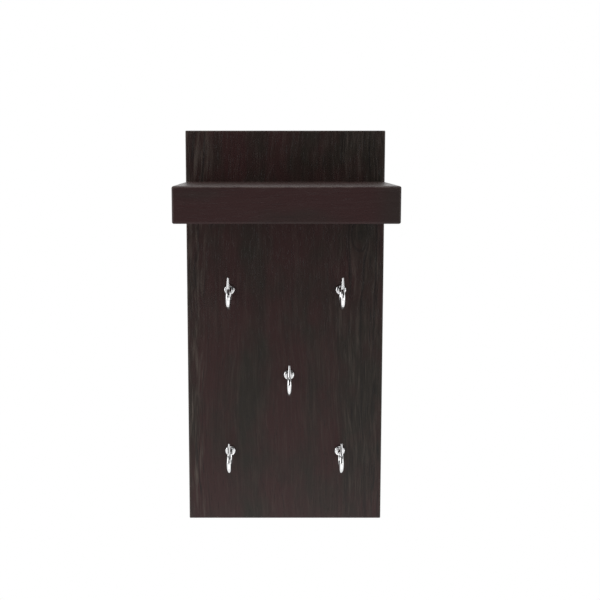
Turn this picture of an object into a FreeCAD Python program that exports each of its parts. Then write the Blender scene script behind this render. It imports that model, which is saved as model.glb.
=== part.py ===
import FreeCAD, Part
import Sketcher
import math
import os

# Wall key holder: a dark wooden back board, a thick ledge shelf across its upper part
# and five chrome plated screw hooks, hung on the wall by two keyhole plates let into its back.
# Millimetres. +Z is up, -Y is the front, and Y = 0 is the back face that lies on the wall.
# The origin is midway between the round entry holes of the two keyhole plates.

doc = FreeCAD.newDocument("wall_key_holder")
sizes = doc.addObject("Spreadsheet::Sheet", "sizes")
SIZES = {
    # Back board
    "panel_width": 151.5,
    "panel_height": 305,
    "panel_thickness": 18,
    "panel_edge_round": 0.8,
    # Ledge shelf, as wide as the board, butted against its front face
    "shelf_depth": 100,
    "shelf_thickness": 25,
    "shelf_edge_round": 1.4,
    "shelf_drop": 38.5,
    # Places of the hooks on the board
    "hook_inset": 32.75,
    "hook_lower_height": 55.5,
    "hook_row_spread": 128,
    "centre_hook_shift": 3,
    "centre_hook_height": 116.5,
    # One hook: collar, screw shank, bent wire and thinner tip
    "collar_diameter": 8.2,
    "collar_height": 1.8,
    "collar_rim_round": 1.1,
    "shank_diameter": 3,
    "shank_length": 13,
    "shank_point": 3,
    "wire_diameter": 3.5,
    "wire_straight": 2.6,
    "neck_radius": 2.4,
    "ring_radius": 9.3,
    "ring_rise_angle": 30,
    "flare_radius": 3,
    "tip_length": 8.6,
    "tip_diameter": 1.2,
    "tip_round": 0.55,
    # Dowels in the joint between shelf and board
    "dowel_diameter": 8,
    "dowel_in_panel": 9,
    "dowel_in_shelf": 19,
    "dowel_chamfer": 0.8,
    "dowel_inset": 11.75,
    "flute_count": 10,
    "flute_diameter": 1,
    # Countersunk screws that draw the shelf onto the board
    "shelf_screw_diameter": 4,
    "shelf_screw_length": 48,
    "shelf_screw_head": 8,
    "shelf_screw_point": 5,
    "shelf_screw_sink": 0.5,
    "shelf_screw_spread": 56,
    # Keyhole plates, let in flush, and the slots behind them for the heads of the wall screws
    "hanger_inset": 27.75,
    "hanger_drop": 34,
    "plate_width": 16,
    "plate_length": 44,
    "plate_thickness": 2,
    "plate_centre_rise": 3,
    "keyhole_entry": 9.5,
    "keyhole_slot": 4.8,
    "keyhole_rise": 9,
    "head_space_width": 12,
    "head_space_depth": 6,
    # Countersunk screws of the keyhole plates
    "plate_screw_diameter": 3,
    "plate_screw_length": 12,
    "plate_screw_head": 5.6,
    "plate_screw_point": 3,
    "plate_screw_spread": 32,
    # Cross recess in the screw heads, as shares of the head's diameter
    "recess_span_share": 0.56,
    "recess_slot_share": 0.15,
    "recess_depth_share": 0.2,
    # Clearances: on the diameter of a bore, round an inlay, and past the end of a piece in its bore
    "bore_play": 0.1,
    "inlay_play": 0.2,
    "end_play": 1,
}

for row, (alias, value) in enumerate(SIZES.items(), 1):
    sizes.set("A%d" % row, alias)
    sizes.set("B%d" % row, str(value))
    sizes.setAlias("B%d" % row, alias)
doc.recompute()

# Heights above the bottom edge of the board
HANGER_HEIGHT = "(sizes.panel_height - sizes.hanger_drop)"
SHELF_BOTTOM = "(sizes.panel_height - sizes.shelf_drop - sizes.shelf_thickness)"
JOINT_HEIGHT = "(" + SHELF_BOTTOM + " + sizes.shelf_thickness / 2)"
UPPER_HOOK_HEIGHT = "(sizes.hook_lower_height + sizes.hook_row_spread)"

# Distances from the middle of the board, for what is inset from its side edges
HOOK_SIDE = "(sizes.panel_width / 2 - sizes.hook_inset)"
DOWEL_SIDE = "(sizes.panel_width / 2 - sizes.dowel_inset)"
HANGER_SIDE = "(sizes.panel_width / 2 - sizes.hanger_inset)"

# Numbers by which a sketch knows its own axes and the points of a line or an arc
V_AXIS, H_AXIS = range(-2, 0)
START, END, CENTRE = range(1, 4)
ORIGIN = (H_AXIS, START)
NORMAL = FreeCAD.Vector(0, 0, 1)

pieces = []


def mm(expression):
    """The value of an expression on the sheet, for the first drawing of a sketch."""
    return float(sizes.evalExpression(expression))


def vector(x, y):
    return FreeCAD.Vector(x, y, 0)


def new_body(label):
    body = doc.addObject("PartDesign::Body", label)
    body.Label = label
    pieces.append(body)
    return body


def place(body, x="0", y="0", height="0"):
    """Sets a body at x and y in the shared frame, and at a height above the board's bottom edge."""
    body.setExpression("Placement.Base.x", x)
    body.setExpression("Placement.Base.y", y)
    body.setExpression("Placement.Base.z", height + " - " + HANGER_HEIGHT)


def origin_plane(body, role):
    return next(item for item in body.Origin.OriginFeatures if item.Role == role)


def sketch_on(body, name, role="XZ_Plane", offset=None):
    """A sketch on an origin plane of the body. On XZ_Plane, x is X, y is Z and the normal is -Y."""
    sketch = body.newObject("Sketcher::SketchObject", name)
    sketch.AttachmentSupport = [(origin_plane(body, role), "")]
    sketch.MapMode = "FlatFace"
    if offset:
        sketch.setExpression("AttachmentOffset.Base.z", offset)
    return sketch


def dimension(sketch, name, expression, kind, *places):
    index = sketch.addConstraint(Sketcher.Constraint(kind, *places, mm(expression)))
    sketch.renameConstraint(index, name)
    sketch.setExpression("Constraints." + name, expression)


def constrain(sketch, kind, *places):
    sketch.addConstraint(Sketcher.Constraint(kind, *places))


def polygon(sketch, corners):
    """Draws straight lines from corner to corner and closes them. Returns the first line's number."""
    first = sketch.GeometryCount
    count = len(corners)
    for start, end in zip(corners, corners[1:] + corners[:1]):
        sketch.addGeometry(Part.LineSegment(vector(*start), vector(*end)), False)
    for step in range(count):
        constrain(sketch, "Coincident", first + step, END, first + (step + 1) % count, START)
    return first


def board_outline(sketch, width, height):
    """A rectangle that stands on the sketch's x axis and is centred on its y axis."""
    half = mm(width) / 2
    top = mm(height)
    base = polygon(sketch, [(-half, 0), (half, 0), (half, top), (-half, top)])
    constrain(sketch, "Horizontal", base)
    constrain(sketch, "Vertical", base + 1)
    constrain(sketch, "Horizontal", base + 2)
    constrain(sketch, "Vertical", base + 3)
    constrain(sketch, "Symmetric", base, START, base, END, *ORIGIN)
    dimension(sketch, "width", width, "DistanceX", base, START, base, END)
    dimension(sketch, "height", height, "DistanceY", base + 1, START, base + 1, END)


def locate(sketch, name, point, x=None, y=None):
    """Ties a point to the sketch's axes, or to distances from them with either sign."""
    for letter, kind, axis, distance in (("x", "DistanceX", V_AXIS, x), ("y", "DistanceY", H_AXIS, y)):
        if distance is None:
            constrain(sketch, "PointOnObject", *point, axis)
        elif mm(distance) > 0:
            dimension(sketch, name + "_" + letter, distance, kind, *ORIGIN, *point)
        else:
            dimension(sketch, name + "_" + letter, "-(" + distance + ")", kind, *point, *ORIGIN)


def circle_at(sketch, name, diameter, x=None, y=None):
    """A circle centred x right of and y above the sketch's axes, or on an axis where none is given."""
    centre = vector(mm(x or "0"), mm(y or "0"))
    index = sketch.addGeometry(Part.Circle(centre, NORMAL, mm(diameter) / 2), False)
    dimension(sketch, name + "_diameter", diameter, "Diameter", index)
    locate(sketch, name, (index, CENTRE), x, y)


def upright_slot(sketch, width, rise, x=None, y=None):
    """A round ended slot: its lower end is centred at x and y, its upper end is rise above."""
    radius = mm(width) / 2
    middle = mm(x or "0")
    low = mm(y or "0")
    high = low + mm(rise)
    upper_circle = Part.Circle(vector(middle, high), NORMAL, radius)
    lower_circle = Part.Circle(vector(middle, low), NORMAL, radius)
    upper = sketch.addGeometry(Part.ArcOfCircle(upper_circle, 0, math.pi), False)
    lower = sketch.addGeometry(Part.ArcOfCircle(lower_circle, math.pi, 2 * math.pi), False)
    right_line = Part.LineSegment(vector(middle + radius, low), vector(middle + radius, high))
    left_line = Part.LineSegment(vector(middle - radius, high), vector(middle - radius, low))
    right = sketch.addGeometry(right_line, False)
    left = sketch.addGeometry(left_line, False)
    constrain(sketch, "Tangent", right, END, upper, START)
    constrain(sketch, "Tangent", upper, END, left, START)
    constrain(sketch, "Tangent", left, END, lower, START)
    constrain(sketch, "Tangent", lower, END, right, START)
    constrain(sketch, "Vertical", right)
    dimension(sketch, "slot_radius", "(" + width + ") / 2", "Radius", upper)
    dimension(sketch, "slot_rise", rise, "DistanceY", lower, CENTRE, upper, CENTRE)
    locate(sketch, "slot", (lower, CENTRE), x, y)


def rectangle_about_origin(sketch, width, height):
    """A rectangle centred on the sketch's origin."""
    half = mm(width) / 2
    rise = mm(height) / 2
    base = polygon(sketch, [(-half, -rise), (half, -rise), (half, rise), (-half, rise)])
    constrain(sketch, "Horizontal", base)
    constrain(sketch, "Vertical", base + 1)
    constrain(sketch, "Horizontal", base + 2)
    constrain(sketch, "Vertical", base + 3)
    constrain(sketch, "Symmetric", base, START, base + 2, START, *ORIGIN)
    dimension(sketch, "width", width, "DistanceX", base, START, base, END)
    dimension(sketch, "height", height, "DistanceY", base + 1, START, base + 1, END)


def pad(body, name, sketch, length):
    feature = body.newObject("PartDesign::Pad", name)
    feature.Profile = sketch
    feature.setExpression("Length", length)
    return feature


def pocket(body, name, sketch, depth, into_normal=False):
    """Cuts a sketch into the body, against the sketch's normal or along it."""
    feature = body.newObject("PartDesign::Pocket", name)
    feature.Profile = sketch
    feature.Reversed = into_normal
    feature.setExpression("Length", depth)
    return feature


def countersunk_holes(body, name, sketch, diameter, head, depth):
    """Drills every circle of a sketch from the back, with a seat for a 90 degree screw head."""
    doc.recompute()
    feature = body.newObject("PartDesign::Hole", name)
    feature.Profile = sketch
    doc.recompute()
    feature.Reversed = True
    feature.Threaded = False
    feature.DepthType = "Dimension"
    feature.DrillPoint = "Flat"
    feature.HoleCutType = "Countersink"
    feature.HoleCutCustomValues = True
    feature.HoleCutCountersinkAngle = 90
    feature.setExpression("Diameter", diameter)
    feature.setExpression("HoleCutDiameter", head)
    feature.setExpression("Depth", depth)
    return feature


def mirrored(body, name, features):
    """Repeats features of the right side on the left side."""
    feature = body.newObject("PartDesign::Mirrored", name)
    feature.Originals = features
    feature.MirrorPlane = (origin_plane(body, "YZ_Plane"), [""])
    body.Tip = feature
    return feature


def edges_where(feature, test):
    """Names the edges of a feature whose middle point passes a test."""
    doc.recompute()
    names = []
    for number, edge in enumerate(feature.Shape.Edges, 1):
        middle = edge.valueAt((edge.FirstParameter + edge.LastParameter) / 2)
        if test(middle, edge):
            names.append("Edge%d" % number)
    return names


def rounded(body, name, base, edges, radius):
    feature = body.newObject("PartDesign::Fillet", name)
    feature.Base = (base, edges)
    feature.setExpression("Radius", radius)
    return feature


# Back board: one planed board with eased edges, drilled and routed from both sides


def make_back_panel():
    body = new_body("back_panel")
    place(body)
    outline = sketch_on(body, "board_outline")
    board_outline(outline, "sizes.panel_width", "sizes.panel_height")
    board = pad(body, "board", outline, "sizes.panel_thickness")
    all_edges = edges_where(board, lambda middle, edge: True)
    rounded(body, "eased_edges", board, all_edges, "sizes.panel_edge_round")

    front = "sizes.panel_thickness"
    bore = "sizes.shank_diameter + sizes.bore_play"
    depth = "sizes.shank_length + sizes.end_play"
    right_hooks = sketch_on(body, "right_hook_bores_outline", offset=front)
    circle_at(right_hooks, "lower", bore, HOOK_SIDE, "sizes.hook_lower_height")
    circle_at(right_hooks, "upper", bore, HOOK_SIDE, UPPER_HOOK_HEIGHT)
    right_hook_bores = pocket(body, "right_hook_bores", right_hooks, depth)

    dowel = sketch_on(body, "dowel_bore_outline", offset=front)
    dowel_bore_diameter = "sizes.dowel_diameter + sizes.bore_play"
    circle_at(dowel, "dowel", dowel_bore_diameter, DOWEL_SIDE, JOINT_HEIGHT)
    dowel_bore = pocket(body, "dowel_bore", dowel, "sizes.dowel_in_panel + sizes.end_play")

    inlay = sketch_on(body, "plate_inlay_outline")
    plate_rise = "sizes.plate_length - sizes.plate_width"
    plate_low = HANGER_HEIGHT + " + sizes.plate_centre_rise - (" + plate_rise + ") / 2"
    inlay_width = "(sizes.plate_width + sizes.inlay_play)"
    upright_slot(inlay, inlay_width, plate_rise, HANGER_SIDE, plate_low)
    plate_inlay = pocket(body, "plate_inlay", inlay, "sizes.plate_thickness", True)

    space = sketch_on(body, "head_space_outline")
    upright_slot(space, "sizes.head_space_width", "sizes.keyhole_rise", HANGER_SIDE, HANGER_HEIGHT)
    head_space_depth = "sizes.plate_thickness + sizes.head_space_depth"
    head_space = pocket(body, "head_space", space, head_space_depth, True)

    pilot = sketch_on(body, "plate_screw_bores_outline")
    pilot_diameter = "sizes.plate_screw_diameter + sizes.bore_play"
    plate_centre = HANGER_HEIGHT + " + sizes.plate_centre_rise"
    half_spread = " sizes.plate_screw_spread / 2"
    circle_at(pilot, "lower", pilot_diameter, HANGER_SIDE, plate_centre + " -" + half_spread)
    circle_at(pilot, "upper", pilot_diameter, HANGER_SIDE, plate_centre + " +" + half_spread)
    pilot_depth = "sizes.plate_screw_length + sizes.end_play"
    plate_screw_bores = pocket(body, "plate_screw_bores", pilot, pilot_depth, True)
    right_side = [right_hook_bores, dowel_bore, plate_inlay, head_space, plate_screw_bores]
    mirrored(body, "left_side", right_side)

    middle_hook = sketch_on(body, "centre_hook_bore_outline", offset=front)
    circle_at(middle_hook, "centre", bore, "sizes.centre_hook_shift", "sizes.centre_hook_height")
    pocket(body, "centre_hook_bore", middle_hook, depth)

    screws = sketch_on(body, "shelf_screw_holes_outline")
    hole = "sizes.shelf_screw_diameter + sizes.bore_play"
    seat = "sizes.shelf_screw_head + 2 * sizes.shelf_screw_sink + sizes.bore_play"
    circle_at(screws, "centre", hole, None, JOINT_HEIGHT)
    circle_at(screws, "right", hole, "sizes.shelf_screw_spread / 2", JOINT_HEIGHT)
    through = "sizes.panel_thickness + sizes.end_play"
    right_holes = countersunk_holes(body, "shelf_screw_holes", screws, hole, seat, through)
    mirrored(body, "left_shelf_screw_hole", [right_holes])
    return body


# Ledge shelf: one thick board with softly rounded outer edges, blind bored in its back edge


def make_shelf():
    body = new_body("shelf")
    place(body, y="-sizes.panel_thickness", height=SHELF_BOTTOM)
    outline = sketch_on(body, "ledge_outline")
    board_outline(outline, "sizes.panel_width", "sizes.shelf_thickness")
    ledge = pad(body, "ledge", outline, "sizes.shelf_depth")
    outer_edges = edges_where(ledge, lambda middle, edge: middle.y < -1)
    rounded(body, "rounded_edges", ledge, outer_edges, "sizes.shelf_edge_round")

    middle_height = "sizes.shelf_thickness / 2"
    dowel = sketch_on(body, "dowel_bore_outline")
    diameter = "sizes.dowel_diameter + sizes.bore_play"
    circle_at(dowel, "dowel", diameter, DOWEL_SIDE, middle_height)
    dowel_bore = pocket(body, "dowel_bore", dowel, "sizes.dowel_in_shelf + sizes.end_play", True)

    pilot = sketch_on(body, "right_screw_bore_outline")
    pilot_diameter = "sizes.shelf_screw_diameter + sizes.bore_play"
    reach = "sizes.shelf_screw_length + sizes.shelf_screw_sink - sizes.panel_thickness + sizes.end_play"
    circle_at(pilot, "right", pilot_diameter, "sizes.shelf_screw_spread / 2", middle_height)
    screw_bore = pocket(body, "right_screw_bore", pilot, reach, True)
    mirrored(body, "left_side", [dowel_bore, screw_bore])

    centre = sketch_on(body, "centre_screw_bore_outline")
    circle_at(centre, "centre", pilot_diameter, None, middle_height)
    pocket(body, "centre_screw_bore", centre, reach, True)
    return body


# Beech dowel: chamfered ends and flutes that let the glue rise


def make_dowel(label, x):
    body = new_body(label)
    place(body, x=x, y="-sizes.panel_thickness", height=JOINT_HEIGHT)
    section = sketch_on(body, "dowel_section", offset="-sizes.dowel_in_panel")
    circle_at(section, "dowel", "sizes.dowel_diameter")
    length = "sizes.dowel_in_panel + sizes.dowel_in_shelf"
    rod = pad(body, "rod", section, length)
    ends = edges_where(rod, lambda middle, edge: isinstance(edge.Curve, Part.Circle))
    chamfer = body.newObject("PartDesign::Chamfer", "chamfered_ends")
    chamfer.Base = (rod, ends)
    chamfer.setExpression("Size", "sizes.dowel_chamfer")
    groove = sketch_on(body, "flute_section", offset="-sizes.dowel_in_panel")
    circle_at(groove, "flute", "sizes.flute_diameter", "sizes.dowel_diameter / 2")
    flute = pocket(body, "flute", groove, length, True)
    flutes = body.newObject("PartDesign::PolarPattern", "flutes")
    flutes.Originals = [flute]
    flutes.Axis = (origin_plane(body, "Y_Axis"), [""])
    flutes.Angle = 360
    flutes.setExpression("Occurrences", "sizes.flute_count")
    body.Tip = flutes
    return body


# Countersunk screw: turned head, shank and point, with a cross recess. Its head faces the wall.


def make_screw(label, kind, x, y, height):
    body = new_body(label)
    place(body, x=x, y=y, height=height)
    head = "sizes.%s_head / 2" % kind
    shank = "sizes.%s_diameter / 2" % kind
    length = "sizes.%s_length" % kind
    point = "sizes.%s_point" % kind
    profile = sketch_on(body, "screw_profile", "YZ_Plane")
    cone = mm(head) - mm(shank)
    point_start = (mm(point) - mm(length), mm(shank))
    corners = [(0, 0), (0, mm(head)), (-cone, mm(shank)), point_start, (-mm(length), 0)]
    base = polygon(profile, corners)
    axis = base + len(corners) - 1
    constrain(profile, "Coincident", base, START, *ORIGIN)
    constrain(profile, "Vertical", base)
    constrain(profile, "Horizontal", base + 2)
    constrain(profile, "Horizontal", axis)
    dimension(profile, "head_radius", head, "DistanceY", base, START, base, END)
    dimension(profile, "shank_radius", shank, "DistanceY", *ORIGIN, base + 1, END)
    dimension(profile, "cone_depth", head + " - " + shank, "DistanceX", base + 1, END, *ORIGIN)
    dimension(profile, "length", length, "DistanceX", axis, START, *ORIGIN)
    dimension(profile, "point", point, "DistanceX", base + 3, END, base + 3, START)
    turned = body.newObject("PartDesign::Revolution", "turned_screw")
    turned.Profile = profile
    turned.ReferenceAxis = (origin_plane(body, "Y_Axis"), [""])
    turned.Angle = 360

    span = "sizes.%s_head * sizes.recess_span_share" % kind
    slot = "sizes.%s_head * sizes.recess_slot_share" % kind
    depth = "sizes.%s_head * sizes.recess_depth_share" % kind
    for name, width, rise in (("upright", slot, span), ("level", span, slot)):
        arm = sketch_on(body, name + "_recess_outline")
        rectangle_about_origin(arm, width, rise)
        pocket(body, name + "_recess", arm, depth, True)
    return body


# Keyhole plate: a round ended steel strip with an entry hole, a slot above it and two screw holes


def make_hanger_plate(label, x):
    body = new_body(label)
    place(body, x=x, height=HANGER_HEIGHT)
    strip = sketch_on(body, "strip_outline")
    rise = "(sizes.plate_length - sizes.plate_width)"
    upright_slot(strip, "sizes.plate_width", rise, None, "sizes.plate_centre_rise - " + rise + " / 2")
    pad(body, "strip", strip, "sizes.plate_thickness")

    entry = sketch_on(body, "entry_hole_outline")
    circle_at(entry, "entry", "sizes.keyhole_entry")
    pocket(body, "entry_hole", entry, "sizes.plate_thickness", True)
    slot = sketch_on(body, "slot_outline")
    upright_slot(slot, "sizes.keyhole_slot", "sizes.keyhole_rise")
    pocket(body, "slot", slot, "sizes.plate_thickness", True)

    seats = sketch_on(body, "screw_holes_outline")
    hole = "sizes.plate_screw_diameter + sizes.bore_play"
    head = "sizes.plate_screw_head + sizes.bore_play"
    circle_at(seats, "lower", hole, None, "sizes.plate_centre_rise - sizes.plate_screw_spread / 2")
    circle_at(seats, "upper", hole, None, "sizes.plate_centre_rise + sizes.plate_screw_spread / 2")
    countersunk_holes(body, "screw_holes", seats, hole, head, "sizes.plate_thickness + sizes.end_play")
    return body


# Screw hook: a round collar on a screw shank, and a wire bent down and round into an open ring.
# Past the ring's front the wire leans back, then stands upright and tapers to its tip.
# Collar, shank and wire are one piece.


def make_hook(label, x, height):
    body = new_body(label)
    place(body, x=x, y="-sizes.panel_thickness", height=height)
    collar_radius = "sizes.collar_diameter / 2"
    collar_height = "sizes.collar_height"
    shank_radius = "sizes.shank_diameter / 2"
    profile = sketch_on(body, "collar_and_shank_profile", "YZ_Plane")
    corners = [
        (-mm(collar_height), 0),
        (-mm(collar_height), mm(collar_radius)),
        (0, mm(collar_radius)),
        (0, mm(shank_radius)),
        (mm("sizes.shank_length - sizes.shank_point"), mm(shank_radius)),
        (mm("sizes.shank_length"), 0),
    ]
    base = polygon(profile, corners)
    axis = base + len(corners) - 1
    constrain(profile, "Vertical", base)
    constrain(profile, "Horizontal", base + 1)
    constrain(profile, "Vertical", base + 2)
    constrain(profile, "Horizontal", base + 3)
    constrain(profile, "Horizontal", axis)
    constrain(profile, "PointOnObject", base, START, H_AXIS)
    constrain(profile, "PointOnObject", base + 2, START, V_AXIS)
    dimension(profile, "collar_height", collar_height, "DistanceX", base, END, base + 2, START)
    dimension(profile, "collar_radius", collar_radius, "DistanceY", base, START, base, END)
    dimension(profile, "shank_radius", shank_radius, "DistanceY", *ORIGIN, base + 3, START)
    dimension(profile, "shank_length", "sizes.shank_length", "DistanceX", *ORIGIN, axis, START)
    dimension(profile, "shank_point", "sizes.shank_point", "DistanceX", base + 3, END, axis, START)
    turned = body.newObject("PartDesign::Revolution", "collar_and_shank")
    turned.Profile = profile
    turned.ReferenceAxis = (origin_plane(body, "Y_Axis"), [""])
    turned.Angle = 360
    rim_place = -mm(collar_height) + 1e-3
    rim = edges_where(turned, lambda middle, edge: middle.y < rim_place)
    rounded(body, "round_collar_rim", turned, rim, "sizes.collar_rim_round")

    neck = mm("sizes.neck_radius")
    ring = mm("sizes.ring_radius")
    flare = mm("sizes.flare_radius")
    rise = math.radians(mm("sizes.ring_rise_angle"))
    bend_x = -mm("sizes.wire_straight")
    ring_x = bend_x - neck - ring
    flare_x = ring_x - (ring + flare) * math.cos(rise)
    flare_y = (ring + flare) * math.sin(rise) - neck
    neck_circle = Part.Circle(vector(bend_x, -neck), NORMAL, neck)
    ring_circle = Part.Circle(vector(ring_x, -neck), NORMAL, ring)
    flare_circle = Part.Circle(vector(flare_x, flare_y), NORMAL, flare)
    foot = vector(flare_x + flare, flare_y)
    top = foot + vector(0, mm("sizes.tip_length"))

    lower = sketch_on(body, "lower_wire_path", "YZ_Plane")
    straight = lower.addGeometry(Part.LineSegment(vector(0, 0), vector(bend_x, 0)), False)
    bend = lower.addGeometry(Part.ArcOfCircle(neck_circle, math.pi / 2, math.pi), False)
    bowl = lower.addGeometry(Part.ArcOfCircle(ring_circle, math.pi, 2 * math.pi), False)
    constrain(lower, "Coincident", straight, START, *ORIGIN)
    constrain(lower, "Horizontal", straight)
    constrain(lower, "Tangent", straight, END, bend, START)
    constrain(lower, "Tangent", bend, END, bowl, END)
    constrain(lower, "Horizontal", bowl, START, bowl, END)
    constrain(lower, "Horizontal", bend, CENTRE, bowl, CENTRE)
    dimension(lower, "straight", "sizes.wire_straight", "DistanceX", straight, END, straight, START)
    dimension(lower, "neck", "sizes.neck_radius", "Radius", bend)
    dimension(lower, "ring", "sizes.ring_radius", "Radius", bowl)

    upper = sketch_on(body, "upper_wire_path", "YZ_Plane")
    prong = upper.addGeometry(Part.ArcOfCircle(ring_circle, math.pi - rise, math.pi), False)
    turn = upper.addGeometry(Part.ArcOfCircle(flare_circle, -rise, 0), False)
    tip = upper.addGeometry(Part.LineSegment(foot, top), False)
    ring_centre = "sizes.wire_straight + sizes.neck_radius + sizes.ring_radius"
    constrain(upper, "Tangent", prong, START, turn, START)
    constrain(upper, "Horizontal", prong, CENTRE, prong, END)
    constrain(upper, "Horizontal", turn, CENTRE, turn, END)
    constrain(upper, "Tangent", turn, END, tip, START)
    dimension(upper, "ring", "sizes.ring_radius", "Radius", prong)
    dimension(upper, "flare", "sizes.flare_radius", "Radius", turn)
    locate(upper, "ring_centre", (prong, CENTRE), "-(" + ring_centre + ")", "-sizes.neck_radius")
    span = "(sizes.ring_radius + sizes.flare_radius)"
    foot_height = span + " * sin(sizes.ring_rise_angle * 1 deg) - sizes.neck_radius"
    tip_height = foot_height + " + sizes.tip_length"
    tip_reach = ring_centre + " + " + span + " * cos(sizes.ring_rise_angle * 1 deg) - sizes.flare_radius"
    dimension(upper, "tip_height", tip_height, "DistanceY", *ORIGIN, tip, END)

    section = sketch_on(body, "wire_section")
    circle_at(section, "wire", "sizes.wire_diameter")
    wire = body.newObject("PartDesign::AdditivePipe", "lower_wire")
    wire.Profile = section
    wire.Spine = (lower, [])

    front = sketch_on(body, "front_section", "XY_Plane", "-sizes.neck_radius")
    circle_at(front, "wire", "sizes.wire_diameter", None, "-(" + ring_centre + " + sizes.ring_radius)")
    end = sketch_on(body, "tip_section", "XY_Plane", tip_height)
    circle_at(end, "tip", "sizes.tip_diameter", None, "-(" + tip_reach + ")")
    taper = body.newObject("PartDesign::AdditivePipe", "tapered_tip")
    taper.Profile = front
    taper.Spine = (upper, [])
    taper.Transformation = "Multisection"
    taper.Sections = [(end, [""])]
    just_below_tip = mm(tip_height) - 1e-3
    tip_edge = edges_where(taper, lambda middle, edge: middle.z > just_below_tip)
    rounded(body, "round_tip", taper, tip_edge, "sizes.tip_round")
    return body


SIDES = (("left", "-"), ("right", ""))
make_back_panel()
make_shelf()
for side, sign in SIDES:
    make_dowel("shelf_dowel_" + side, sign + DOWEL_SIDE)
    make_screw("shelf_screw_" + side, "shelf_screw", sign + "sizes.shelf_screw_spread / 2",
               "-sizes.shelf_screw_sink", JOINT_HEIGHT)
    make_hanger_plate("hanger_plate_" + side, sign + HANGER_SIDE)
    plate_middle = HANGER_HEIGHT + " + sizes.plate_centre_rise"
    for end, step in (("lower", " - "), ("upper", " + ")):
        screw_height = plate_middle + step + "sizes.plate_screw_spread / 2"
        make_screw("hanger_screw_" + side + "_" + end, "plate_screw", sign + HANGER_SIDE,
                   "0", screw_height)
    make_hook("key_hook_upper_" + side, sign + HOOK_SIDE, UPPER_HOOK_HEIGHT)
    make_hook("key_hook_lower_" + side, sign + HOOK_SIDE, "sizes.hook_lower_height")
make_screw("shelf_screw_centre", "shelf_screw", "0", "-sizes.shelf_screw_sink", JOINT_HEIGHT)
make_hook("key_hook_centre", "sizes.centre_hook_shift", "sizes.centre_hook_height")

doc.recompute()
faults = [item.Label for item in doc.Objects if set(item.State) & {"Invalid", "Error"}]
faults += [body.Label for body in pieces if body.Shape.isNull() or not body.Shape.isValid()]
if faults:
    raise RuntimeError("these objects failed: " + ", ".join(faults))

os.makedirs("parts", exist_ok=True)
for body in pieces:
    shape = body.Shape
    shape.exportStep(os.path.join("parts", body.Label + ".step"))
    box = shape.BoundBox
    print("%-26s solids %d  volume %10.2f  y %8.2f %8.2f  z %8.2f %8.2f" % (
        body.Label, len(shape.Solids), shape.Volume, box.YMin, box.YMax, box.ZMin, box.ZMax))
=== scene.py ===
import math

import bmesh
import bpy
from mathutils import Matrix, Vector


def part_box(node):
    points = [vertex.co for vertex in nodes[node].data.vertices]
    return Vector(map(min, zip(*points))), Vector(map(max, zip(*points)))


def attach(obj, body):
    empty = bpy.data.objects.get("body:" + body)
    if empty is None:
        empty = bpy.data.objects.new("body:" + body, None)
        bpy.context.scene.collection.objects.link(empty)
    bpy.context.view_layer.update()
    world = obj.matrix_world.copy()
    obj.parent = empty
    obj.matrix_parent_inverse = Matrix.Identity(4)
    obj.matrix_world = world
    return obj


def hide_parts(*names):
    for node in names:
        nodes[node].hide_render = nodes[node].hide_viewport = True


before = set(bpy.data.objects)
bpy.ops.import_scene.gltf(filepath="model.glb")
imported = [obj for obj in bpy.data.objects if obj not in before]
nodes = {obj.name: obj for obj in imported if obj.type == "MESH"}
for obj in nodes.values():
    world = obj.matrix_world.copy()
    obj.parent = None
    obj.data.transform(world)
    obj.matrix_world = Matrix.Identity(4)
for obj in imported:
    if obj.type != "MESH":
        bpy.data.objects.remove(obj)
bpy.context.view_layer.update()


# Back board
# One planed board, stained almost black and given a thin satin lacquer. The grain runs up it
# in broad reddish and greenish zones with thin paler streaks, and bends round a small knot.

BOARD_LOW, BOARD_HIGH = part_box("back_panel")
BOARD_FRONT = BOARD_LOW.y
BOARD_WIDTH = BOARD_HIGH.x - BOARD_LOW.x
RED_STAIN = (0.0325, 0.0124, 0.0118, 1)
GREEN_STAIN = (0.0190, 0.0145, 0.0110, 1)
PALE_STREAK = (0.0760, 0.0590, 0.0490, 1)
DARK_LINE = (0.0080, 0.0060, 0.0056, 1)


def shader_node(tree, kind, settings=None, **sockets):
    """Adds a node. Its sockets are named with underscores and take a value or a node's output."""
    node = tree.nodes.new("ShaderNode" + kind)
    for name, value in (settings or {}).items():
        setattr(node, name, value)
    for name, value in sockets.items():
        socket = node.inputs[int(name[3:]) if name[:3] == "in_" else name.replace("_", " ")]
        if isinstance(value, bpy.types.NodeSocket):
            tree.links.new(value, socket)
        else:
            socket.default_value = value
    return node


def calculate(tree, operation, *values, clamp=False):
    """The output of a Math node."""
    sockets = {"in_%d" % place: value for place, value in enumerate(values)}
    settings = {"operation": operation, "use_clamp": clamp}
    return shader_node(tree, "Math", settings, **sockets).outputs[0]


def noise(tree, vector, scale, detail=2.0, roughness=0.5):
    """Noise with its own scale along each axis."""
    stretched = shader_node(tree, "Mapping", Vector=vector, Scale=scale).outputs[0]
    sockets = {"Scale": 1.0, "Detail": detail, "Roughness": roughness}
    return shader_node(tree, "TexNoise", Vector=stretched, **sockets).outputs["Fac"]


def fade(tree, value, low, high, smooth=True):
    """0 below low, 1 above high, and the other way round where high is the smaller."""
    kind = "SMOOTHSTEP" if smooth else "LINEAR"
    if low < high:
        limits = {"From_Min": low, "From_Max": high}
    else:
        limits = {"From_Min": high, "From_Max": low, "To_Min": 1.0, "To_Max": 0.0}
    settings = {"interpolation_type": kind}
    return shader_node(tree, "MapRange", settings, Value=value, **limits).outputs[0]


def mixed(tree, factor, first, second):
    """The colour output of a Mix node."""
    settings = {"data_type": "RGBA"}
    return shader_node(tree, "Mix", settings, in_0=factor, in_6=first, in_7=second).outputs[2]


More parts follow.
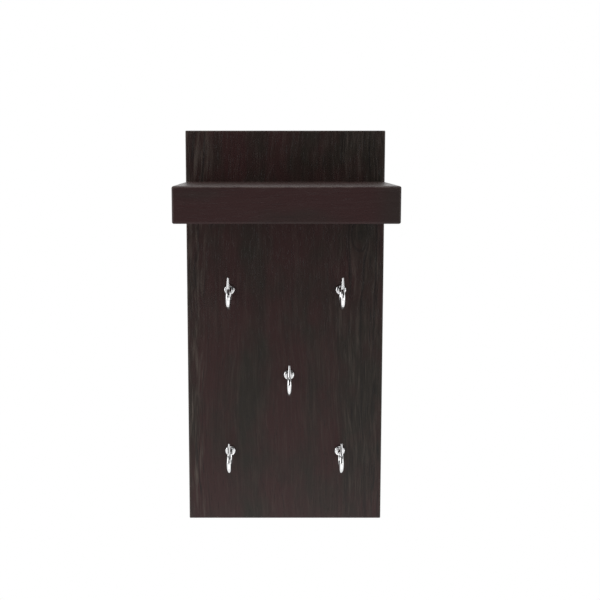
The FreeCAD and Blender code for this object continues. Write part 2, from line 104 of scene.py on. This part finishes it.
def laid_over(tree, stain, mask, amount, colour):
    """The stain with a colour over it where the mask is, by an amount."""
    return mixed(tree, calculate(tree, "MULTIPLY", mask, amount), stain, colour)


def split(tree, vector):
    """The X, Y and Z outputs of a vector."""
    return shader_node(tree, "SeparateXYZ", Vector=vector).outputs


# A noise is given as its cells per metre across, through and along the grain, its detail and
# its roughness. The limits of a pattern say where it starts to show and where it is full.
SWERVE, SWERVE_WIDTH = ((9, 9, 3.2), 1.0), 0.030
RIPPLE, RIPPLE_WIDTH = ((26, 26, 17), 1.5), 0.0075
WIDE_STREAKS, WIDE_LIMITS = ((300, 170, 24), 2.5, 0.6), (0.47, 0.72)
FINE_STREAKS, FINE_LIMITS = ((950, 520, 52), 2.5, 0.65), (0.49, 0.74)
STREAK_WEIGHT = 0.6
THIN_LINES, LINE_LIMITS = ((620, 360, 34), 2.0, 0.55), (0.42, 0.27)
OPEN_PORES, PORE_LIMITS = ((2300, 2300, 130), 1.0), (0.36, 0.24)
RING_GAP, RING_WANDER, RING_LIMITS = 0.0085, 9.0, (0.72, 0.99)
RING_PATCHES, PATCH_LIMITS = ((70, 70, 9), 1.0), (0.42, 0.62)
KNOT_SHORTENED, KNOT_FALLOFF, KNOT_PULL = 0.55, -0.7, -0.8
SWIRL_TURNS, SWIRL_LIMITS, SWIRL_END = 9.0, (0.3, 0.95), (2.6, 0.5)
HEART_LIMITS, HEART_DARKNESS = (0.12, 0.02), 0.8
STREAK_RELIEF, RING_RELIEF = 0.35, -0.4

# The grain group takes a place in metres with the grain along Z, and gives masks and a height.
stained_grain = bpy.data.node_groups.new("stained_grain", "ShaderNodeTree")
inputs = {"Vector": "Vector", "Waver": "Float", "Knot": "Vector", "Knot Size": "Float"}
for label, kind in inputs.items():
    stained_grain.interface.new_socket(label, in_out="INPUT", socket_type="NodeSocket" + kind)
for label in ("Across", "Streaks", "Lines", "Rings", "Knot", "Pores", "Height"):
    stained_grain.interface.new_socket(label, in_out="OUTPUT", socket_type="NodeSocketFloat")
tree = stained_grain
given = tree.nodes.new("NodeGroupInput").outputs
result = tree.nodes.new("NodeGroupOutput").inputs

# How far a place is from the knot, in knot sizes, and how far the knot pulls the grain there.
to_knot = shader_node(tree, "VectorMath", {"operation": "SUBTRACT"},
                      in_0=given["Vector"], in_1=given["Knot"])
from_knot = split(tree, to_knot.outputs[0])
aside = calculate(tree, "DIVIDE", from_knot["X"], given["Knot Size"])
along = calculate(tree, "DIVIDE", from_knot["Z"], given["Knot Size"])
along = calculate(tree, "MULTIPLY", along, KNOT_SHORTENED)
aside_squared = calculate(tree, "MULTIPLY", aside, aside)
along_squared = calculate(tree, "MULTIPLY", along, along)
distance_squared = calculate(tree, "ADD", aside_squared, along_squared)
near_knot = calculate(tree, "EXPONENT", calculate(tree, "MULTIPLY", distance_squared, KNOT_FALLOFF))
pull = calculate(tree, "MULTIPLY", calculate(tree, "MULTIPLY", near_knot, KNOT_PULL), from_knot["X"])

# The grain swerves and ripples as it runs along, and every pattern follows it.
broad = calculate(tree, "SUBTRACT", noise(tree, given["Vector"], *SWERVE), 0.5)
wavy = calculate(tree, "SUBTRACT", noise(tree, given["Vector"], *RIPPLE), 0.5)
drift = calculate(tree, "ADD", calculate(tree, "MULTIPLY", broad, SWERVE_WIDTH),
                  calculate(tree, "MULTIPLY", wavy, RIPPLE_WIDTH))
drift = calculate(tree, "MULTIPLY", drift, given["Waver"])
axes = split(tree, given["Vector"])
across = calculate(tree, "ADD", calculate(tree, "ADD", axes["X"], drift), pull)
bent = shader_node(tree, "CombineXYZ", X=across, Y=axes["Y"], Z=axes["Z"]).outputs[0]

fine_noise = noise(tree, bent, *FINE_STREAKS)
wide = fade(tree, noise(tree, bent, *WIDE_STREAKS), *WIDE_LIMITS)
fine = fade(tree, fine_noise, *FINE_LIMITS)
streaks = calculate(tree, "ADD", calculate(tree, "MULTIPLY", wide, STREAK_WEIGHT),
                    calculate(tree, "MULTIPLY", fine, STREAK_WEIGHT), clamp=True)
lines = fade(tree, noise(tree, bent, *THIN_LINES), *LINE_LIMITS)
pores = fade(tree, noise(tree, bent, *OPEN_PORES), *PORE_LIMITS)

ring_count = calculate(tree, "MULTIPLY", across, 2 * math.pi / RING_GAP)
ring_wave = calculate(tree, "SINE", calculate(tree, "MULTIPLY_ADD", broad, RING_WANDER, ring_count))
faint = fade(tree, noise(tree, bent, *RING_PATCHES), *PATCH_LIMITS)
rings = calculate(tree, "MULTIPLY", fade(tree, ring_wave, *RING_LIMITS), faint)

distance = calculate(tree, "SQRT", distance_squared)
swirl = calculate(tree, "SINE", calculate(tree, "MULTIPLY", distance, SWIRL_TURNS))
swirl_end = fade(tree, distance_squared, *SWIRL_END)
swirl = calculate(tree, "MULTIPLY", fade(tree, swirl, *SWIRL_LIMITS), swirl_end)
heart = calculate(tree, "MULTIPLY", fade(tree, distance_squared, *HEART_LIMITS), HEART_DARKNESS)

height = calculate(tree, "SUBTRACT", calculate(tree, "MULTIPLY", fine_noise, STREAK_RELIEF), pores)
height = calculate(tree, "MULTIPLY_ADD", rings, RING_RELIEF, height)
outputs = {"Across": across, "Streaks": streaks, "Lines": lines, "Rings": rings,
           "Knot": calculate(tree, "MAXIMUM", heart, swirl), "Pores": pores, "Height": height}
for label, output in outputs.items():
    tree.links.new(output, result[label])


def new_material(name):
    """A node material with only a Principled shader and the object's own coordinates."""
    material = bpy.data.materials.new(name)
    material.use_nodes = True
    tree = material.node_tree
    shader = tree.nodes["Principled BSDF"]
    place = tree.nodes.new("ShaderNodeTexCoord").outputs["Object"]
    return material, tree, shader, place


def stained_wood(name, grain_turn, waver, knot, knot_size):
    """The start of a stained wood: its material, tree, shader, coordinates and grain."""
    material, tree, shader, place = new_material(name)
    turned = shader_node(tree, "Mapping", Vector=place, Rotation=grain_turn).outputs[0]
    grain = tree.nodes.new("ShaderNodeGroup")
    grain.node_tree = stained_grain
    tree.links.new(turned, grain.inputs["Vector"])
    grain.inputs["Waver"].default_value = waver
    grain.inputs["Knot"].default_value = knot
    grain.inputs["Knot Size"].default_value = knot_size
    return material, tree, shader, place, grain.outputs


PORE_DULLNESS, STREAK_DULLNESS = 0.18, 0.06
LACQUER_SHINE, RELIEF_STRENGTH = 0.28, 0.5


def lacquer(tree, shader, grain, relief, roughness):
    """Satin lacquer that sinks into the pores: roughness and relief follow the grain."""
    dull = calculate(tree, "MULTIPLY_ADD", grain["Pores"], PORE_DULLNESS, roughness)
    dull = calculate(tree, "MULTIPLY_ADD", grain["Streaks"], STREAK_DULLNESS, dull)
    tree.links.new(dull, shader.inputs["Roughness"])
    bump = shader_node(tree, "Bump", Height=grain["Height"], Strength=RELIEF_STRENGTH, Distance=relief)
    tree.links.new(bump.outputs[0], shader.inputs["Normal"])
    shader.inputs["Specular IOR Level"].default_value = LACQUER_SHINE


ARRIS_LIMITS = (0.12, 0.5)
ARRIS_PATCHES, ARRIS_PATCH_LIMITS = ((150, 150, 60), 3.0), (0.3, 0.65)


def lighter_arrises(tree, place, low, high, width):
    """A mask that rises over the last of the width before any two outer faces of a board meet."""
    nearness = []
    for output, near, far in zip(split(tree, place), low, high):
        out = calculate(tree, "ABSOLUTE", calculate(tree, "SUBTRACT", output, (near + far) / 2))
        half = (far - near) / 2
        nearness.append(fade(tree, out, half - width, half, smooth=False))
    along_x, along_y, along_z = nearness
    arris_mask = calculate(tree, "MULTIPLY", along_x, along_y)
    for first, second in ((along_y, along_z), (along_x, along_z)):
        arris_mask = calculate(tree, "MAXIMUM", arris_mask, calculate(tree, "MULTIPLY", first, second))
    patchy = fade(tree, noise(tree, place, *ARRIS_PATCHES), *ARRIS_PATCH_LIMITS)
    return calculate(tree, "MULTIPLY", fade(tree, arris_mask, *ARRIS_LIMITS), patchy)


def dress(obj, material):
    """Gives a piece one material all over."""
    obj.data.materials.clear()
    obj.data.materials.append(material)
    for face in obj.data.polygons:
        face.material_index = 0


KNOT = Vector((0.0575, BOARD_FRONT, -0.0455))
KNOT_SIZE = 0.0075
BOARD_WAVER = 1.0

# Each zone is how far across the board it lies, from 0 to 1, and how green the stain is there.
GREEN_ZONES = ((0.0, 0.8), (0.045, 0.45), (0.09, 0.05), (0.27, 0.1), (0.32, 0.85), (0.4, 0.8), (0.45, 0.1),
               (0.57, 0.15), (0.62, 0.6), (0.69, 0.3), (0.75, 0.2), (0.8, 0.85), (0.92, 0.9), (1.0, 0.5))
ZONE_STRENGTH = 0.68
BLOTCHES, BLOTCH_CONTRAST, BLOTCH_GREEN = ((38, 38, 19), 3.5, 0.62), 3.4, 0.10
LEFT_EDGE, RIGHT_SIDE = (0.125, 0.07), (0.72, 0.84)
STREAKY, STREAKY_RIGHT, STREAKY_LEFT = 0.24, 0.30, 0.76
LINED, LINED_SIDES = 0.3, 0.5
RINGED, RINGED_SIDES = 0.15, 0.4
KNOT_DARKNESS, BOARD_PORES = 0.5, 0.5
BOARD_ARRIS, BOARD_PALER_ARRIS = 0.0016, 0.45
BOARD_RELIEF, BOARD_ROUGHNESS = 0.00018, 0.35

board_wood, tree, shader, place, grain = stained_wood(
    "dark_board_wood", (0, 0, 0), BOARD_WAVER, KNOT, KNOT_SIZE)
share = calculate(tree, "MULTIPLY_ADD", grain["Across"], 1 / BOARD_WIDTH, 0.5)
zones = shader_node(tree, "ValToRGB", Fac=share)
zones.color_ramp.interpolation = "EASE"
ramp = zones.color_ramp.elements
ramp[0].position, ramp[1].position = GREEN_ZONES[0][0], GREEN_ZONES[-1][0]
for across_share, _ in GREEN_ZONES[1:-1]:
    ramp.new(across_share)
for stop, (_, green) in zip(ramp, GREEN_ZONES):
    stop.color = (green, green, green, 1)
blotches = calculate(tree, "SUBTRACT", noise(tree, place, *BLOTCHES), 0.5)
blotches = calculate(tree, "MULTIPLY_ADD", blotches, BLOTCH_CONTRAST, BLOTCH_GREEN)
green = calculate(tree, "MULTIPLY_ADD", zones.outputs["Color"], ZONE_STRENGTH, blotches, clamp=True)
stain = mixed(tree, green, RED_STAIN, GREEN_STAIN)

left_edge = fade(tree, share, *LEFT_EDGE)
right_side = fade(tree, share, *RIGHT_SIDE)
sides = calculate(tree, "ADD", left_edge, right_side)
streaky = calculate(tree, "MULTIPLY_ADD", right_side, STREAKY_RIGHT, STREAKY)
streaky = calculate(tree, "MULTIPLY_ADD", left_edge, STREAKY_LEFT, streaky)
stain = laid_over(tree, stain, grain["Streaks"], streaky, PALE_STREAK)
lined = calculate(tree, "MULTIPLY_ADD", sides, LINED_SIDES, LINED)
ringed = calculate(tree, "MULTIPLY_ADD", sides, RINGED_SIDES, RINGED)
dark = calculate(tree, "MAXIMUM", calculate(tree, "MULTIPLY", grain["Lines"], lined),
                 calculate(tree, "MULTIPLY", grain["Rings"], ringed))
dark = calculate(tree, "MAXIMUM", dark, calculate(tree, "MULTIPLY", grain["Knot"], KNOT_DARKNESS))
stain = mixed(tree, dark, stain, DARK_LINE)
stain = laid_over(tree, stain, grain["Pores"], BOARD_PORES, DARK_LINE)
# The board is paler along its arrises, in patches.
arris_mask = lighter_arrises(tree, place, BOARD_LOW, BOARD_HIGH, BOARD_ARRIS)
stain = laid_over(tree, stain, arris_mask, BOARD_PALER_ARRIS, PALE_STREAK)
tree.links.new(stain, shader.inputs["Base Color"])
lacquer(tree, shader, grain, BOARD_RELIEF, BOARD_ROUGHNESS)
dress(nodes["back_panel"], board_wood)


# Ledge shelf
# A thick plain board of the same wood, grain from side to side, sanded smoother and stained a
# warmer and more even brown. Its outer edges are rounded; all but the lower ones are paler, partly
# wear and partly a painted highlight. Its top faces are painted lighter, as light from above falls
# on them, and its underside has only a thin, dull coat. Its back edge is butted on the board.

QUARTER_TURN = math.pi / 2
SHELF_STAIN = (0.0345, 0.0145, 0.0145, 1)
SHELF_COOL = (0.0265, 0.0175, 0.0158, 1)
SHELF_PALE = (0.0420, 0.0250, 0.0225, 1)
WEAR_AND_PAINTED_LIGHT = (0.0750, 0.0520, 0.0470, 1)
SHELF_WAVER = 1.3
FAR_KNOT, FAR_KNOT_SIZE = (1, 1, 1), 0.01
COOL_PATCHES, COOL_LIMITS, COOL_END = ((14, 14, 45), 2.0), (0.45, 0.75), (0.052, 0.074)
SHELF_STREAKS, SHELF_LINES, SHELF_PORES = 0.22, 0.18, 0.25
FACES_UP, FACES_OUT, FACES_DOWN = (0.8, 0.98), (-0.2, 0.3), (-0.05, -0.5)
# How much lighter the top faces are painted, as if lit from above: a noise for patches, a base share, and
# shares added by the patches and by the streaks.
TOP_LIGHT_PATCHES, TOP_LIGHT_PATCH_LIMITS = ((60, 60, 60), 3.0, 0.65), (0.40, 0.72)
TOP_LIGHT, TOP_LIGHT_BY_PATCHES, TOP_LIGHT_BY_STREAKS = 0.27, 0.20, 0.22
# How far the wear and painted highlight reach in from the shelf's arrises, and how strong they are.
SHELF_ARRIS, SHELF_WEAR_AND_HIGHLIGHT = 0.0022, 0.6
SHELF_RELIEF, SHELF_ROUGHNESS, UNDERSIDE_ROUGHER = 0.00008, 0.34, 0.36

shelf_wood, tree, shader, place, grain = stained_wood(
    "dark_shelf_wood", (0, QUARTER_TURN, 0), SHELF_WAVER, FAR_KNOT, FAR_KNOT_SIZE)
cool = fade(tree, noise(tree, place, *COOL_PATCHES), *COOL_LIMITS)
right_end = fade(tree, split(tree, place)["X"], *COOL_END)
stain = mixed(tree, calculate(tree, "MAXIMUM", cool, right_end), SHELF_STAIN, SHELF_COOL)
stain = laid_over(tree, stain, grain["Streaks"], SHELF_STREAKS, SHELF_PALE)
stain = laid_over(tree, stain, grain["Lines"], SHELF_LINES, DARK_LINE)
stain = laid_over(tree, stain, grain["Pores"], SHELF_PORES, DARK_LINE)
upward = split(tree, tree.nodes.new("ShaderNodeNewGeometry").outputs["Normal"])["Z"]
# Painted light: the upward faces are made lighter, as lit from above, unevenly in patches and along the
# streaks.
painted_top_light = fade(tree, noise(tree, place, *TOP_LIGHT_PATCHES), *TOP_LIGHT_PATCH_LIMITS)
painted_top_light = calculate(tree, "MULTIPLY_ADD", painted_top_light, TOP_LIGHT_BY_PATCHES, TOP_LIGHT)
painted_top_light = calculate(tree, "MULTIPLY_ADD", grain["Streaks"], TOP_LIGHT_BY_STREAKS, painted_top_light)
stain = laid_over(tree, stain, fade(tree, upward, *FACES_UP), painted_top_light, WEAR_AND_PAINTED_LIGHT)
# The arrises, except where they face down, are paler: wear, and a painted highlight.
arris_mask = lighter_arrises(tree, place, *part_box("shelf"), SHELF_ARRIS)
arris_mask = calculate(tree, "MULTIPLY", arris_mask, fade(tree, upward, *FACES_OUT))
stain = laid_over(tree, stain, arris_mask, SHELF_WEAR_AND_HIGHLIGHT, WEAR_AND_PAINTED_LIGHT)
tree.links.new(stain, shader.inputs["Base Color"])
underside = fade(tree, upward, *FACES_DOWN)
coat = calculate(tree, "MULTIPLY_ADD", underside, UNDERSIDE_ROUGHER, SHELF_ROUGHNESS)
lacquer(tree, shader, grain, SHELF_RELIEF, coat)
dress(nodes["shelf"], shelf_wood)


# Dowels
# Two fluted beech pins, glued in the joint between board and shelf. They are turned from
# straight-grained wood and left bare.

BEECH, BEECH_FLECK = (0.70, 0.50, 0.31, 1), (0.52, 0.34, 0.19, 1)
FLECKS, FLECK_LIMITS = ((900, 60, 900), 2.0), (0.35, 0.7)
BEECH_ROUGHNESS = 0.6

beech, tree, shader, place = new_material("beech_dowel")
fleck = fade(tree, noise(tree, place, *FLECKS), *FLECK_LIMITS)
tree.links.new(mixed(tree, fleck, BEECH, BEECH_FLECK), shader.inputs["Base Color"])
shader.inputs["Roughness"].default_value = BEECH_ROUGHNESS
for side in ("left", "right"):
    dress(nodes["shelf_dowel_" + side], beech)


# Keyhole plates and all the screws
# Plates pressed from mild steel sheet and turned screws, both zinc plated: a cool grey metal,
# faintly brushed, with duller, yellowish patches of passivation. The screws are brighter.

PASSIVATION, PASSIVATION_LIMITS = ((130, 130, 90), 3.0), (0.42, 0.68)
BRUSH_DULLNESS, BRUSH_STRENGTH, BRUSH_DEPTH = 0.2, 0.25, 0.00004


def zinc_plated(name, clean, yellowed, brushing, roughness):
    """Zinc plate over steel. The brushing is a noise that is stretched the way it runs."""
    material, tree, shader, place = new_material(name)
    brush = noise(tree, place, *brushing)
    patches = fade(tree, noise(tree, place, *PASSIVATION), *PASSIVATION_LIMITS)
    tree.links.new(mixed(tree, patches, clean, yellowed), shader.inputs["Base Color"])
    shader.inputs["Metallic"].default_value = 1.0
    dull = calculate(tree, "MULTIPLY_ADD", brush, BRUSH_DULLNESS, roughness)
    tree.links.new(dull, shader.inputs["Roughness"])
    bump = shader_node(tree, "Bump", Height=brush, Strength=BRUSH_STRENGTH, Distance=BRUSH_DEPTH)
    tree.links.new(bump.outputs[0], shader.inputs["Normal"])
    return material


plate_zinc = zinc_plated("zinc_plated_sheet", clean=(0.36, 0.37, 0.38, 1), yellowed=(0.32, 0.31, 0.27, 1),
                         brushing=((4200, 900, 160), 2.0, 0.6), roughness=0.26)
screw_zinc = zinc_plated("zinc_plated_screws", clean=(0.52, 0.53, 0.54, 1), yellowed=(0.45, 0.44, 0.39, 1),
                         brushing=((1900, 900, 1900), 2.0, 0.6), roughness=0.18)
for name in nodes:
    if "screw" in name:
        dress(nodes[name], screw_zinc)
    elif "plate" in name:
        dress(nodes[name], plate_zinc)


# Screw hooks
# Steel wire with a pressed collar, a shank that screws into the board, and an open ring bent
# down and round. Past the ring's front it leans back, then stands upright and thins to its tip.
# Bright chrome plate all over.

MM = 0.001
SHANK_LENGTH = 13 * MM
SHANK_POINT = 3 * MM
SHANK_RADIUS = 1.5 * MM
COLLAR_RADIUS = 4.1 * MM
COLLAR_HEIGHT = 1.8 * MM
COLLAR_ROUND = 1.1 * MM
WIRE_RADIUS = 1.75 * MM
WIRE_STRAIGHT = 2.6 * MM
NECK_RADIUS = 2.4 * MM
RING_RADIUS = 9.3 * MM
RING_RISE = math.radians(30)
FLARE_RADIUS = 3 * MM
TIP_LENGTH = 8.6 * MM
TIP_RADIUS = 0.6 * MM

# Finer than the part's sizes: the shank's blunt point, the collar's pressed back edge, and the
# hollow between collar and wire. Then the sides of the wire and the steps of each stretch.
BLUNT_POINT, PRESSED_EDGE, THROAT = 0.05 * MM, 0.05 * MM, 0.3 * MM
WIRE_SIDES = 32
COLLAR_STEPS, THROAT_STEPS, NECK_STEPS, RING_STEPS = 8, 3, 10, 44
LEAN_STEPS, FLARE_STEPS, TIP_STEPS, END_STEPS = 8, 6, 4, 7

CHROME_BRIGHT, CHROME_HAZY = (0.86, 0.86, 0.87, 1), (0.80, 0.80, 0.80, 1)
HAZE = ((420, 420, 420), 3.0)
CHROME_ROUGHNESS, HAZE_DULLNESS = 0.04, 0.10
HAZE_STRENGTH, HAZE_DEPTH = 0.12, 0.00003

chrome, tree, shader, place = new_material("chrome_plate")
haze = noise(tree, place, *HAZE)
tree.links.new(mixed(tree, haze, CHROME_BRIGHT, CHROME_HAZY), shader.inputs["Base Color"])
shader.inputs["Metallic"].default_value = 1.0
dull = calculate(tree, "MULTIPLY_ADD", haze, HAZE_DULLNESS, CHROME_ROUGHNESS)
tree.links.new(dull, shader.inputs["Roughness"])
bump = shader_node(tree, "Bump", Height=haze, Strength=HAZE_STRENGTH, Distance=HAZE_DEPTH)
tree.links.new(bump.outputs[0], shader.inputs["Normal"])


def corners_of(ring):
    """The corners that a ring of edges runs through, once each and in order."""
    return list(dict.fromkeys(vert for edge in ring for vert in edge.verts))


def widen(bm, ring, factor):
    """Scales a ring of edges about its own middle."""
    corners = corners_of(ring)
    middle = sum((vert.co for vert in corners), Vector()) / len(corners)
    space = Matrix.Translation(-middle)
    bmesh.ops.scale(bm, vec=(factor, factor, factor), space=space, verts=corners)


def carry_on(bm, ring, shift, factor):
    """Carries the tube on by a shift, to a ring that is wider by a factor. Returns the ring."""
    made = bmesh.ops.extrude_edge_only(bm, edges=ring)["geom"]
    new_ring = [item for item in made if isinstance(item, bmesh.types.BMEdge)]
    bmesh.ops.translate(bm, vec=shift, verts=corners_of(new_ring))
    widen(bm, new_ring, factor)
    return new_ring


def bend(bm, ring, centre, angle, steps, radius=WIRE_RADIUS, thinning=0.0):
    """Bends the tube about an axis along X, thinner by the thinning at each step.

    Returns the ring at its end, and that ring's radius.
    """
    for _ in range(steps):
        made = bmesh.ops.spin(bm, geom=ring, cent=centre, axis=(1, 0, 0), angle=angle / steps, steps=1)
        ring = [item for item in made["geom_last"] if isinstance(item, bmesh.types.BMEdge)]
        if thinning:
            widen(bm, ring, (radius - thinning) / radius)
            radius -= thinning
    return ring, radius


def rounding(radius, steps):
    """Steps round a quarter turn: how far along and how far in."""
    turns = [QUARTER_TURN * step / steps for step in range(1, steps + 1)]
    return [(radius * math.sin(turn), radius * (1 - math.cos(turn))) for turn in turns]


def shank_and_collar():
    """From the shank's point to the straight wire past the collar: each ring's y and radius."""
    rim = COLLAR_HEIGHT - COLLAR_ROUND
    profile = [
        (SHANK_LENGTH - SHANK_POINT, SHANK_RADIUS),
        (PRESSED_EDGE, SHANK_RADIUS),
        (0, SHANK_RADIUS + PRESSED_EDGE),
        (0, COLLAR_RADIUS - 2 * PRESSED_EDGE),
        (-PRESSED_EDGE, COLLAR_RADIUS - PRESSED_EDGE),
        (-2 * PRESSED_EDGE, COLLAR_RADIUS),
        (-rim, COLLAR_RADIUS),
    ]
    for down, inward in rounding(COLLAR_ROUND, COLLAR_STEPS):
        profile.append((-rim - down, COLLAR_RADIUS - inward))
    for down, inward in [(0, 0)] + rounding(THROAT, THROAT_STEPS):
        profile.append((-COLLAR_HEIGHT - inward, WIRE_RADIUS + THROAT - down))
    return profile + [(-WIRE_STRAIGHT, WIRE_RADIUS)]


def hook_mesh():
    """One hook, with its collar's back face at y = 0 and its shank along +Y."""
    bm = bmesh.new()
    start = Matrix.Translation((0, SHANK_LENGTH, 0)) @ Matrix.Rotation(QUARTER_TURN, 4, "X")
    bmesh.ops.create_circle(bm, cap_ends=True, segments=WIRE_SIDES, radius=BLUNT_POINT, matrix=start)
    ring = bm.edges[:]
    radius, place = BLUNT_POINT, SHANK_LENGTH
    for y, next_radius in shank_and_collar():
        ring = carry_on(bm, ring, (0, y - place, 0), next_radius / radius)
        radius, place = next_radius, y
    neck_centre = Vector((0, -WIRE_STRAIGHT, -NECK_RADIUS))
    ring, radius = bend(bm, ring, neck_centre, QUARTER_TURN, NECK_STEPS)
    ring_centre = neck_centre - Vector((0, NECK_RADIUS + RING_RADIUS, 0))
    ring, radius = bend(bm, ring, ring_centre, -math.pi, RING_STEPS)

    lean, turn = RING_RADIUS * RING_RISE, FLARE_RADIUS * RING_RISE
    slope = (WIRE_RADIUS - TIP_RADIUS) / (lean + turn + TIP_LENGTH)
    thinning = slope * lean / LEAN_STEPS
    ring, radius = bend(bm, ring, ring_centre, -RING_RISE, LEAN_STEPS, radius, thinning)
    reach = RING_RADIUS + FLARE_RADIUS
    flare_centre = ring_centre + Vector((0, -reach * math.cos(RING_RISE), reach * math.sin(RING_RISE)))
    thinning = slope * turn / FLARE_STEPS
    ring, radius = bend(bm, ring, flare_centre, RING_RISE, FLARE_STEPS, radius, thinning)
    for _ in range(TIP_STEPS):
        thinner = radius - slope * TIP_LENGTH / TIP_STEPS
        ring = carry_on(bm, ring, (0, 0, TIP_LENGTH / TIP_STEPS), thinner / radius)
        radius = thinner
    bmesh.ops.translate(bm, vec=(0, 0, -TIP_RADIUS), verts=corners_of(ring))
    done = 0
    for up, inward in rounding(TIP_RADIUS, END_STEPS)[:-1]:
        ring = carry_on(bm, ring, (0, 0, up - done), (TIP_RADIUS - inward) / radius)
        radius, done = TIP_RADIUS - inward, up
    bmesh.ops.contextual_create(bm, geom=ring)
    bmesh.ops.recalc_face_normals(bm, faces=bm.faces)
    for face in bm.faces:
        face.smooth = True
    return bm


def shown(name, bm):
    """Makes a mesh object of a bmesh, at the origin, and shows it."""
    mesh = bpy.data.meshes.new(name)
    bm.to_mesh(mesh)
    bm.free()
    obj = bpy.data.objects.new(name, mesh)
    bpy.context.scene.collection.objects.link(obj)
    return obj


for name in sorted(nodes):
    if not name.startswith("key_hook"):
        continue
    low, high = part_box(name)
    collar_height = low.z + WIRE_RADIUS + RING_RADIUS + NECK_RADIUS
    bm = hook_mesh()
    bmesh.ops.translate(bm, vec=((low.x + high.x) / 2, BOARD_FRONT, collar_height), verts=bm.verts)
    hook = shown(name + "_wire", bm)
    dress(hook, chrome)
    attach(hook, "root")
    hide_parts(name)


# Floor, lights and camera
# A pale floor as far below as a room's floor is under a wall piece, soft lamps, and white all
# round. Reflections show the bright floor, and a dark room in front from just below eye level up.

FLOOR_DEPTH, FLOOR_REACH = -1.3, 4
FLOOR_GREY, FLOOR_ROUGHNESS = (0.8, 0.8, 0.8, 1), 0.8
WHITE = (1, 1, 1, 1)

bm = bmesh.new()
bmesh.ops.create_grid(bm, x_segments=1, y_segments=1, size=FLOOR_REACH)
bmesh.ops.translate(bm, vec=(0, 0, FLOOR_DEPTH), verts=bm.verts)
floor = shown("floor", bm)
floor_paint, tree, shader, place = new_material("pale_floor")
shader.inputs["Base Color"].default_value = FLOOR_GREY
shader.inputs["Roughness"].default_value = FLOOR_ROUGHNESS
ray = tree.nodes.new("ShaderNodeLightPath").outputs
seen = calculate(tree, "MAXIMUM", ray["Is Camera Ray"], ray["Is Glossy Ray"])
white = shader_node(tree, "Emission", Color=WHITE, Strength=1.0)
blend = shader_node(tree, "MixShader", in_0=seen, in_1=shader.outputs[0], in_2=white.outputs[0])
tree.links.new(blend.outputs[0], tree.nodes["Material Output"].inputs["Surface"])
floor.data.materials.append(floor_paint)

# The light from all round, and how dark the parts of the room in front are in reflections.
# Limits are on the axes of a direction one unit long.
AMBIENT = 0.47
IN_FRONT, EYE_LEVEL, DARK_ROOM = (0.15, -0.25), (-0.30, -0.08), -0.95
CEILING, CEILING_LIFT = (0.55, 0.75), -0.55
SLANTING_FROM, SLANTING_TO, DARK_SLANT = (0.25, 0.5), (0.93, 0.8), -0.6

world = bpy.data.worlds.new("white_studio")
bpy.context.scene.world = world
world.use_nodes = True
tree = world.node_tree
ray = tree.nodes.new("ShaderNodeLightPath").outputs
heading = split(tree, tree.nodes.new("ShaderNodeTexCoord").outputs["Generated"])
in_front = fade(tree, heading["Y"], *IN_FRONT)
below_ceiling = calculate(tree, "MULTIPLY_ADD", fade(tree, heading["Z"], *CEILING), CEILING_LIFT, 1.0)
raised = calculate(tree, "MULTIPLY", fade(tree, heading["Z"], *EYE_LEVEL), below_ceiling)
dark_room = calculate(tree, "MULTIPLY", in_front, raised)
aside = calculate(tree, "ABSOLUTE", heading["X"])
slanting = calculate(tree, "MULTIPLY", fade(tree, aside, *SLANTING_FROM), fade(tree, aside, *SLANTING_TO))
slanting = calculate(tree, "MULTIPLY", slanting, in_front)
shine = calculate(tree, "MULTIPLY", calculate(tree, "MULTIPLY_ADD", slanting, DARK_SLANT, 1.0),
                  calculate(tree, "MULTIPLY_ADD", dark_room, DARK_ROOM, 1.0))
shine = calculate(tree, "MULTIPLY", shine, ray["Is Glossy Ray"])
seen = calculate(tree, "MAXIMUM", ray["Is Camera Ray"], ray["Is Transmission Ray"])
shown_white = calculate(tree, "MAXIMUM", seen, shine)
looked_at = calculate(tree, "MAXIMUM", seen, ray["Is Glossy Ray"])
unseen = calculate(tree, "MULTIPLY_ADD", looked_at, -AMBIENT, AMBIENT)
strength = calculate(tree, "ADD", shown_white, unseen)
tree.links.new(strength, tree.nodes["Background"].inputs["Strength"])
tree.nodes["Background"].inputs["Color"].default_value = WHITE


def soft_lamp(name, place, aim, width, watts):
    """A square lamp that is turned towards its aim."""
    lamp = bpy.data.lights.new(name, "AREA")
    lamp.shape = "SQUARE"
    lamp.size = width
    lamp.energy = watts
    holder = bpy.data.objects.new(name, lamp)
    bpy.context.scene.collection.objects.link(holder)
    holder.location = place
    holder.rotation_euler = (Vector(aim) - Vector(place)).to_track_quat("-Z", "Y").to_euler()


MIDDLE = (0, -0.05, -0.1)
LOWER_END = (0.02, 0, -0.38)
soft_lamp("overhead_lamp", place=(-0.15, -0.55, 1.25), aim=MIDDLE, width=0.9, watts=6.5)
soft_lamp("left_lamp", place=(-1.1, -0.7, 0.0), aim=MIDDLE, width=0.8, watts=5.4)
soft_lamp("right_lamp", place=(1.2, -0.7, -0.2), aim=MIDDLE, width=0.8, watts=3.4)
soft_lamp("low_lamp", place=(0.02, -0.5, -0.75), aim=LOWER_END, width=0.45, watts=0.8)

# The camera stands a little above the middle and looks slightly down.
CAMERA_PLACE = (-0.0057, -0.7441, 0.0167)
CAMERA_DIP = math.radians(6.79)
camera_data = bpy.data.cameras.new("camera")
camera_data.sensor_width = 36
camera_data.lens = 57.0
camera_data.shift_x = 0.037
camera_data.shift_y = -0.0555
camera = bpy.data.objects.new("camera", camera_data)
bpy.context.scene.collection.objects.link(camera)
camera.location = CAMERA_PLACE
camera.rotation_euler = (QUARTER_TURN - CAMERA_DIP, 0, 0)
bpy.context.scene.camera = camera

bpy.context.scene.view_settings.view_transform = "Standard"
